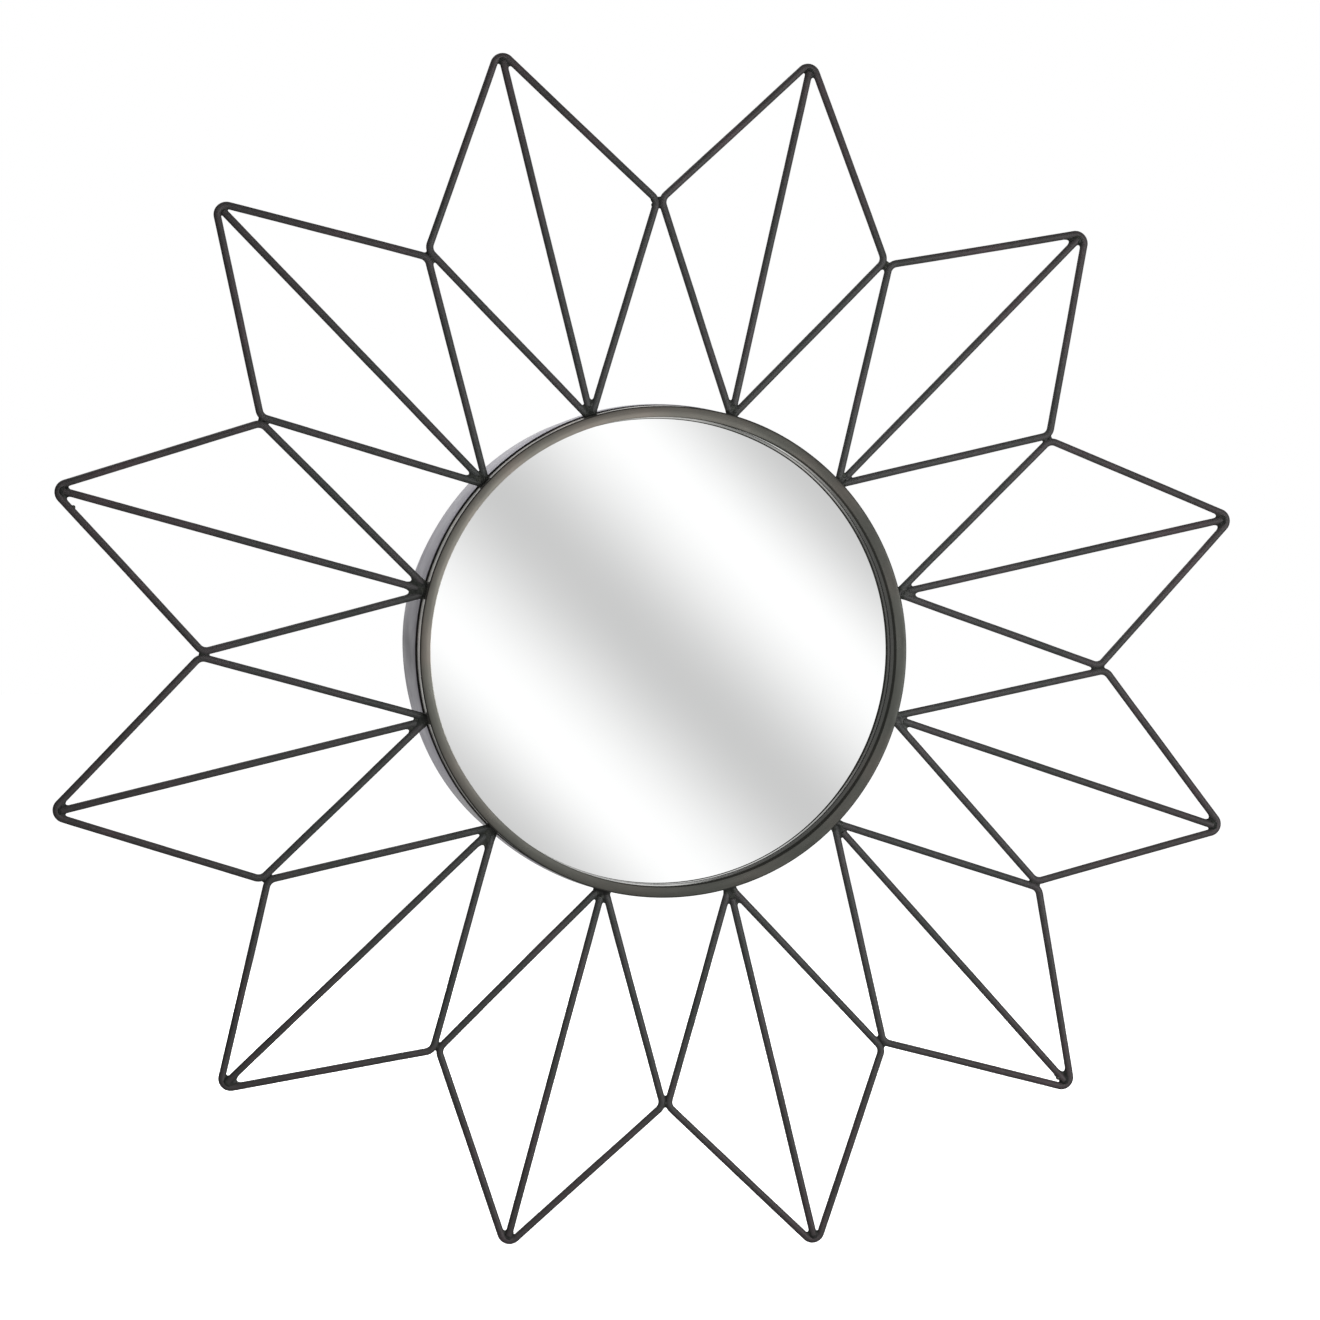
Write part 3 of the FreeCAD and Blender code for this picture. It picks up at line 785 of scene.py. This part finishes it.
# how far the weld metal fills each corner, in mm from where the wires' middle lines cross
FILL_R = COAT_R - 0.14
FILL_FLAT = 1.5          # the fill lies a little below the wires' front
HUB_FILL = [(9.9, 12.0), (11.2, 9.2), (9.5, 10.2), (11.0, 12.4), (10.8, 13.2), (10.3, 11.4), (12.9, 11.6), (11.9, 11.4), (14.2, 11.3), (13.1, 10.5), (14.5, 14.9), (13.4, 10.3)]
TIP_FILL = [(10.1, 11.1), (9.6, 11.2), (11.9, 10.3), (11.4, 11.9), (12.8, 9.8), (13.5, 9.6), (10.6, 11.5), (10.0, 11.0), (12.9, 10.1), (10.9, 11.9), (12.0, 10.8), (9.6, 9.7)]
TIP_LUMPS = {5: [(12.5, -1.9, -0.5, 1.5), (15.0, -1.7, -0.4, 1.1)]}   # from the tip, sideways, depth, radius
HUB_SPREAD = {1: 1.6, 2: 2.2, 3: 4.0, 4: 4.2, 5: 6.0, 6: 5.6, 7: 3.6}
HUB_PAINTED_SHADE = {0: 0.5, 1: 0.6, 8: 0.5, 9: 0.5, 10: 0.35, 11: 0.35}   # weaker painted shade in the hollows at the upper left
SIDE_LUMPS = {0: (2.7, 1.6), 2: (2.5, 1.5), 4: (2.4, 1.5), 8: (2.5, 1.5), 9: (2.5, 1.5), 10: (2.4, 1.5)}   # outward, radius
SIDE_FILL = [5.2, 5.7, 5.8, 6.9, 6.1, 7.0, 7.1, 5.9, 5.2, 5.3, 5.2, 6.9]


def fill_k(reach, u, v):
    """blend size that fills the corner between directions u and v out to reach"""
    half = math.acos(float(np.clip(unit(u) @ unit(v), -1, 1))) / 2
    return max(1.2, 4 * (reach * math.sin(half) - FILL_R))


hub, tip, side = [], [], []
for i, s in enumerate(petal_shapes):
    g = np.random.default_rng(300 + i)
    e1, H, T = s["axis"], s["H"], s["T"]
    e2 = np.array([-e1[1], e1[0]])
    left = np.array([s["S"], s["S"] + unit(s["L"] - s["S"]) * 26])
    right = np.array([s["E"], s["E"] + unit(s["R"] - s["E"]) * 26])
    run = unit(s["B"] - s["A"])
    spine = np.array([s["A"] - run * 2.0, s["A"] + run * 20])
    foot = H + e1 * max(0.0, (LIP_OUT_R - np.linalg.norm(H)))
    blobs = []
    for k in range(10):
        p = foot + e1 * g.uniform(1.5, 7.5) + e2 * g.uniform(-2.6, 2.6)
        blobs.append((p[0], p[1], (-1 if k % 2 == 0 else 1) * g.uniform(0.7, 1.5), g.uniform(0.7, 1.25)))
    kl, kr = (fill_k(r, C - H, e1) for r, C in zip(HUB_FILL[i], (s["L"], s["R"])))
    stem = np.array([foot - e1 * 1.2, H + e1 * 5.0])
    ridges = []
    for end, C in ((s["S"], s["L"]), (s["E"], s["R"])):
        u = unit(C - end)
        cut = u @ end - math.sqrt(max(0.0, (u @ end) ** 2 - end @ end + (LIP_OUT_R - 0.6) ** 2))
        ridges.append(np.array([end - u * min(cut, np.linalg.norm(end - H)), end + u * 1.0]))
    v, q, w = weld_mesh(foot + e1 * 5.0, e1, (10.0, 17.0, 14.0, 4.6), [left, spine, right, stem], [(0, 1, kl), (1, 2, kr), (1, 3, 2.0)], blobs, (15.5, 4.3), 0.42, skirt=True, skirt_k=HUB_SPREAD.get(i, 0.9), ridges=ridges)
    hub.append((v, q, np.where(w > 0, w * HUB_PAINTED_SHADE.get(i, 1.0), w)))
    c = T - e1 * 10.0
    spine_t = np.array([s["B"] + run * 1.6, s["B"] - run * 20])
    bt = np.array(s["bt"])
    half = len(bt) // 2
    wire_l = np.concatenate([[bt[0] + unit(s["L"] - T) * 22], bt[:half + 1]])
    wire_r = np.concatenate([bt[half:], [bt[-1] + unit(s["R"] - T) * 22]])
    blobs = []
    for k in range(4):
        p = T - e1 * g.uniform(7.0, 11.0) + e2 * g.uniform(-2.0, 2.0)
        blobs.append((p[0], p[1], (-1 if k % 2 == 0 else 1) * g.uniform(0.7, 1.4), g.uniform(0.7, 1.2)))
    for far, off, y, r in TIP_LUMPS.get(i, ()):
        p = T - e1 * far + e2 * off
        blobs.append((p[0], p[1], y, r))
    kl, kr = (fill_k(r, C - T, -e1) for r, C in zip(TIP_FILL[i], (s["L"], s["R"])))
    outline = np.concatenate([[bt[0] + unit(s["L"] - T) * 30], bt, [bt[-1] + unit(s["R"] - T) * 30]])
    v, q, w = weld_mesh(c, e1, (13.0, 10.0, 12.0, 3.6), [wire_l, spine_t, wire_r], [(0, 1, kl), (1, 2, kr)], blobs, (12.5, 3.4), fence=outline)
    tip.append((v, q, w))
    n = petal_shapes[(i + 1) % 12]
    a, b = np.array(s["br"]), np.array(n["bl"])
    d = np.sqrt(((a[:, None] - b[None]) ** 2).sum(-1))
    ia, ib = np.unravel_index(d.argmin(), d.shape)
    c = (a[ia] + b[ib]) / 2
    wa = np.concatenate([[a[0] + unit(s["T"] - s["R"]) * 14], a, [a[-1] + unit(s["H"] - s["R"]) * 14]])
    wb = np.concatenate([[b[0] + unit(n["H"] - n["L"]) * 14], b, [b[-1] + unit(n["T"] - n["L"]) * 14]])
    blobs = []
    rad = unit(c)
    for k in range(3):
        p = c + rad * g.uniform(-2.6, 2.2) + np.array([-rad[1], rad[0]]) * g.uniform(-0.5, 0.5)
        blobs.append((p[0], p[1], (-1 if k % 2 == 0 else 1) * g.uniform(0.5, 1.2), g.uniform(0.7, 1.1)))
    if i in SIDE_LUMPS:
        far, r = SIDE_LUMPS[i]
        p = c + rad * far
        blobs.append((p[0], p[1], 0.0, r))
    ks = max(2.0 * (d.min() - 2 * FILL_R) + 1.6, 4 * ((SIDE_FILL[i] + 4.6) * 0.267 - FILL_R))
    v, q, w = weld_mesh(c, rad, (9.5, 8.5, 7.5, 3.6), [wa, wb], [(0, 1, ks)], blobs, (7.8, 3.4))
    side.append((v, q, w))
# stray drops of weld metal: petal, place in the petal plane, depth, radius
for i, x, z, y, r in ((10, -373.1, 89.1, -0.4, 1.3), (0, -8.3, 288.9, -0.3, 1.25), (0, -8.2, 285.9, -0.4, 1.15)):
    path = petal_shapes[i]["path"]
    p = np.array([x, z])
    k = int(((path - p) ** 2).sum(1).argmin())
    v, q, w = weld_mesh(p, np.array([1.0, 0.0]), (3.4, 3.4, 3.4, 3.0), [path[max(0, k - 3):k + 4]], [], [(x, z, y, r)], (3.0, 2.6), 0.3)
    side.append((v, q, w))
join("hub_weld_beads", hub, M["hub_weld"], "weld_bead", "hub_welds")
join("tip_weld_beads", tip, M["weld"], "weld_bead", "tip_welds")
join("side_weld_beads", side, M["weld"], "weld_bead", "side_welds")

# ------------------------------------------------------------------ rim, drum and mirror
def hump(a, at_deg, width):
    d = (math.degrees(a) - at_deg + 180) % 360 - 180
    return math.exp(-((d / width) ** 2))


def ease(v):
    v = min(1.0, max(0.0, v))
    return v * v * (3 - 2 * v)


CROWN = 0.15             # the lip's face is very slightly domed


def lip_y(r):
    m = (LIP_OUT_R + LIP_IN_R) / 2
    return FRONT_Y + CROWN * ((r - m) / (LIP_OUT_R - m)) ** 2


bez = rounded([
    (LIP_OUT_R, -57.0, 0.35), (LIP_OUT_R, -75.0, 0.01), (LIP_OUT_R, lip_y(LIP_OUT_R), 0.8),
    *[(r, lip_y(r), 0.01) for r in (156.2, 155.5, 154.8, 154.1, 153.4, 152.7)],
    (LIP_IN_R, lip_y(LIP_IN_R), 0.35), (LIP_IN_R, -82.5, 0.01), (LIP_IN_R, -75.0, 0.35), (152.5, -75.0, 0.35),
    (152.5, -87.5, 0.6), (156.4, -87.5, 0.5), (156.4, -57.0, 0.35)], 8)


def bezel_part(k):
    """0 face and inside, 1 wall near the glass, 2 wall behind the lip, 3 skirt, 4 outer edge"""
    (r0, y0), (r1, y1) = bez[k], bez[(k + 1) % len(bez)]
    if max(abs(r0 - LIP_IN_R), abs(r1 - LIP_IN_R)) < 0.02:
        return 1 if min(y0, y1) > -82.6 else 2
    if max(abs(r0 - LIP_OUT_R), abs(r1 - LIP_OUT_R)) < 0.02:
        return 3
    return 4 if min(r0, r1) > LIP_OUT_R - 0.75 and max(y0, y1) < -85.0 else 0


def lip_lean(a, r, y):
    """the rolled lip sits a little off centre and is a little uneven"""
    d = 0.06 + 0.42 * math.cos(a) - 0.22 * math.sin(a) - 0.9 * hump(a, 90, 15) - 0.3 * hump(a, 113, 9)
    d -= 0.6 * hump(a, 69, 12) * ease((154.5 - r) / 3.0)
    return d * ease((-75.0 - y) / 10.0) + 0.5 * hump(a, 302, 20) * ease((-81.0 - y) / 6.0)


stand_for(lathe("front_bezel_rolled", bez, [M["rim"], M["wall"], M["shade"], M["skirt"], M["edge_line"]], 360, 0.03, bezel_part, lip_lean), "rim_coat", "front_bezel")


def out_of_round(a, r, y):
    """the hand-rolled hoop is a little out of round, differently at its front and rear edges"""
    rear = ease((y + 62.0) / 50.0) * (1.5 * hump(a, 171, 15) - 1.3 * hump(a, 92, 18) - 1.2 * hump(a, 238, 17))
    front = (1 - ease((y + 66.0) / 30.0)) * (hump(a, 88, 15) + hump(a, 241, 14))
    return rear - front * (0.45 if r > 158.2 else 0.0)


GAP_R, GAP_Y = 158.45, -67.5
drm = rounded([
    (GAP_R, -71.0, 0.2), (159.05, -71.0, 0.25), (159.45, -67.0, 0.01), (159.75, -63.0, 0.01), (159.94, -59.0, 0.01), (160.0, -54.0, 0.01), (160.0, -45.0, 0.01), (160.0, -25.0, 0.01), (160.0, 0.0, 1.5),
    (148.0, 0.0, 0.5), (148.0, -2.0, 0.5), (158.0, -2.0, 0.5), (158.0, -25.0, 0.01), (158.0, -45.0, 0.01), (158.0, GAP_Y, 0.2), (GAP_R, GAP_Y, 0.2)], 8)
stand_for(lathe("drum_band_rolled", drm, [M["drum"]], 360, 0.03, None, out_of_round), "drum_coat", "drum_band")


def disc(name, r, y0, y1, mats, rings=12, sides=240, edge=0.4, mat_of=None):
    """round plate with eased edges; front at y0"""
    prof = [(0.0, y0)]
    for k in range(1, rings):
        prof.append((r * k / rings * 0.985, y0))
    prof += [(r - edge - 0.2, y0), (r - edge, y0)]
    for k in range(1, 5):
        a = k / 4 * math.pi / 2
        prof.append((r - edge + edge * math.sin(a), y0 + edge - edge * math.cos(a)))
    for k in range(0, 5):
        a = k / 4 * math.pi / 2
        prof.append((r - edge + edge * math.cos(a), y1 - edge + edge * math.sin(a)))
    prof += [(r - edge - 0.2, y1)]
    for k in range(rings - 1, 0, -1):
        prof.append((r * k / rings * 0.985, y1))
    prof.append((0.0, y1))
    n = len(prof)
    verts, faces, idx = [(0, y0 * MM, 0)], [], []
    for s in range(sides):
        a = 2 * math.pi * s / sides
        for rr, y in prof[1:-1]:
            verts.append((rr * math.cos(a) * MM, y * MM, rr * math.sin(a) * MM))
    verts.append((0, y1 * MM, 0))
    m = n - 2
    last = len(verts) - 1
    for s in range(sides):
        t = (s + 1) % sides
        faces.append((0, 1 + s * m, 1 + t * m))
        idx.append(mat_of(0) if mat_of else 0)
        for k in range(m - 1):
            faces.append((1 + s * m + k, 1 + s * m + k + 1, 1 + t * m + k + 1, 1 + t * m + k))
            idx.append(mat_of(k + 1) if mat_of else 0)
        faces.append((1 + s * m + m - 1, last, 1 + t * m + m - 1))
        idx.append(mat_of(m) if mat_of else 0)
    return add_mesh(name, verts, faces, mats, True, idx)


stand_for(disc("mirror_disc", 152.4, -74.0, -71.0, [M["mirror"], M["edge"]], 12, 240, 0.5, lambda k: 0 if k <= 13 else 1), "mirror", "mirror_glass")
stand_for(disc("backboard_disc", 145.0, -69.5, -64.5, [M["board"]], 14, 240, 0.5), "fibreboard", "backboard")

for node, key in (
    ("glazing_seal", "seal"), ("backing_pad", "felt"), ("hanger_bar", "bar"), ("board_lugs", "zinc"),
    ("turn_button_screws", "zinc"), ("hanger_rivets", "zinc"), ("hanger_strap_left", "zinc"),
    ("hanger_strap_right", "zinc"), ("d_ring_left", "zinc"), ("d_ring_right", "zinc"),
    *[("turn_button_%d" % (j + 1), "zinc") for j in range(6)],
):
    ob = frame["nodes"][node]
    ob.data.materials.clear()
    ob.data.materials.append(M[key])

# ------------------------------------------------------------------ stage: floor, cards, light
sc = bpy.context.scene
sc.view_settings.view_transform = "Standard"
sc.view_settings.look = "None"
floor_z = CAD_BOX[0].z - 0.0005


def emit(name, color, strength):
    m = bpy.data.materials.new(name)
    m.use_nodes = True
    t = m.node_tree
    t.nodes.clear()
    o = t.nodes.new("ShaderNodeOutputMaterial")
    e = t.nodes.new("ShaderNodeEmission")
    e.inputs["Color"].default_value = (*color, 1)
    e.inputs["Strength"].default_value = strength
    t.links.new(e.outputs[0], o.inputs[0])
    return m, t, e, o


def plane(name, corners, mat):
    ob = add_mesh(name, corners, [(0, 1, 2, 3)], [mat], False)
    return ob


fm = bpy.data.materials.new("floor_paint")
fm.use_nodes = True
t = fm.node_tree
b = t.nodes["Principled BSDF"]
tc = t.nodes.new("ShaderNodeTexCoord")
ns = t.nodes.new("ShaderNodeTexNoise")
ns.inputs["Scale"].default_value = 3.0
rp = t.nodes.new("ShaderNodeValToRGB")
rp.color_ramp.elements[0].color = (0.90, 0.90, 0.90, 1)
rp.color_ramp.elements[1].color = (0.93, 0.93, 0.93, 1)
t.links.new(tc.outputs["Object"], ns.inputs["Vector"])
t.links.new(ns.outputs["Fac"], rp.inputs["Fac"])
t.links.new(rp.outputs["Color"], b.inputs["Base Color"])
b.inputs["Roughness"].default_value = 0.9
b.inputs["Specular IOR Level"].default_value = 0.0
b.inputs["Emission Color"].default_value = (1, 1, 1, 1)
b.inputs["Emission Strength"].default_value = 0.84
fm.cycles.emission_sampling = "NONE"
floor = plane("floor", [(-8, -6, floor_z), (8, -6, floor_z), (8, 9, floor_z), (-8, 9, floor_z)], fm)
floor.visible_diffuse = False
floor.visible_glossy = False
floor.visible_shadow = False
# what the floor gives back to the object from below
m, t, e, o = emit("floor_bounce", (1.0, 1.0, 0.99), 0.28)
bounce = plane("floor_bounce", [(-2.5, -2.0, floor_z - 0.002), (2.5, -2.0, floor_z - 0.002), (2.5, 2.5, floor_z - 0.002), (-2.5, 2.5, floor_z - 0.002)], m)
bounce.visible_camera = False
bounce.visible_shadow = False

# soft card in front, seen in the mirror: white with broad grey diagonals
CARD_Y = -2.30
K = 1 + (abs(CARD_Y) - 0.074) / (2.10761 - 0.074)
m, t, e, o = emit("card_glow", (1, 1, 1), 1.0)
geo = t.nodes.new("ShaderNodeNewGeometry")
sep = t.nodes.new("ShaderNodeSeparateXYZ")
t.links.new(geo.outputs["Position"], sep.inputs[0])
add = t.nodes.new("ShaderNodeMath")
add.operation = "ADD"
t.links.new(sep.outputs[0], add.inputs[0])
t.links.new(sep.outputs[2], add.inputs[1])
mp = t.nodes.new("ShaderNodeMapRange")
mid = (-0.34181 + 0.05216) * (1 - K)
reach = 0.200 * math.sqrt(2) * K
mp.inputs["From Min"].default_value = mid - reach
mp.inputs["From Max"].default_value = mid + reach
t.links.new(add.outputs[0], mp.inputs["Value"])
cr = t.nodes.new("ShaderNodeValToRGB")
cr.color_ramp.interpolation = "EASE"
stops = [(-0.158, 0.62), (-0.091, 1.05), (-0.004, 0.615), (0.083, 1.05), (0.152, 0.61)]
while len(cr.color_ramp.elements) < len(stops):
    cr.color_ramp.elements.new(0.5)
for el, (d, v) in zip(cr.color_ramp.elements, stops):
    el.position = (d + 0.200) / 0.400
    el.color = (v, v, v, 1)
t.links.new(mp.outputs[0], cr.inputs["Fac"])
t.links.new(cr.outputs["Color"], e.inputs["Color"])
card = plane("front_card", [(0.02, CARD_Y, -0.42), (0.73, CARD_Y, -0.42), (0.73, CARD_Y, 0.32), (0.02, CARD_Y, 0.32)], m)
card.visible_camera = False

# surroundings: white to the eye; as a light source pale behind, soft from the right, dim at the left
w = bpy.data.worlds.new("studio")
sc.world = w
w.use_nodes = True
t = w.node_tree
t.nodes.clear()
o = t.nodes.new("ShaderNodeOutputWorld")
seen = t.nodes.new("ShaderNodeBackground")
seen.inputs["Color"].default_value = (1, 1, 1, 1)
seen.inputs["Strength"].default_value = 1.0
lit = t.nodes.new("ShaderNodeBackground")
lit.inputs["Strength"].default_value = 1.0
lp = t.nodes.new("ShaderNodeLightPath")
mx = t.nodes.new("ShaderNodeMixShader")
t.links.new(lp.outputs["Is Camera Ray"], mx.inputs[0])
t.links.new(lit.outputs[0], mx.inputs[1])
t.links.new(seen.outputs[0], mx.inputs[2])
t.links.new(mx.outputs[0], o.inputs[0])
tc = t.nodes.new("ShaderNodeTexCoord")
sep = t.nodes.new("ShaderNodeSeparateXYZ")
t.links.new(tc.outputs["Generated"], sep.inputs[0])


def wnode(op, a, b):
    n = t.nodes.new("ShaderNodeMath")
    n.operation = op
    for i, v in enumerate((a, b)):
        if isinstance(v, (int, float)):
            n.inputs[i].default_value = v
        else:
            t.links.new(v, n.inputs[i])
    return n.outputs[0]


def wstep(v, a, b, lo, hi):
    n = t.nodes.new("ShaderNodeMapRange")
    n.interpolation_type = "SMOOTHSTEP"
    for k, x in zip(("From Min", "From Max", "To Min", "To Max"), (a, b, lo, hi)):
        n.inputs[k].default_value = x
    t.links.new(v, n.inputs["Value"])
    return n.outputs["Result"]


back = wnode("MULTIPLY", wstep(sep.outputs[1], 0.25, 0.95, 0.0, 0.75), wstep(sep.outputs[0], -0.6, 0.2, 0.12, 1.0))
side = wstep(sep.outputs[0], 0.15, 0.95, 0.0, 0.14)
t.links.new(wnode("ADD", wnode("ADD", back, side), 0.14), lit.inputs["Color"])


def area(name, loc, aim, size, power, color=(1, 1, 1)):
    d = bpy.data.lights.new(name, "AREA")
    d.shape = "RECTANGLE"
    d.size, d.size_y = size
    d.energy = power
    d.color = color
    ob = bpy.data.objects.new(name, d)
    sc.collection.objects.link(ob)
    ob.location = loc
    ob.rotation_mode = "QUATERNION"
    ob.rotation_quaternion = (Vector(aim) - Vector(loc)).to_track_quat("-Z", "Y")
    return ob


area("key", (1.75, -1.75, -0.20), (0.05, -0.08, 0), (1.0, 1.4), 24)
near = area("front_soft", (0.14, -0.95, 0.06), (0.0, -0.07, 0), (0.6, 0.6), 12)
near.visible_glossy = False
wires = bpy.data.collections.new("lit_by_front_soft")
for ob in bpy.data.objects:
    if ob.name.endswith(("_coated", "_weld_beads")):
        wires.objects.link(ob)
near.light_linking.receiver_collection = wires
rear = area("rear_soft", (-0.35, 1.25, 0.35), (0.0, -0.03, 0), (0.9, 0.9), 16)
rear.visible_glossy = False
area("high_fill", (-0.9, 0.9, 1.7), (0, -0.04, 0), (1.2, 1.2), 10)
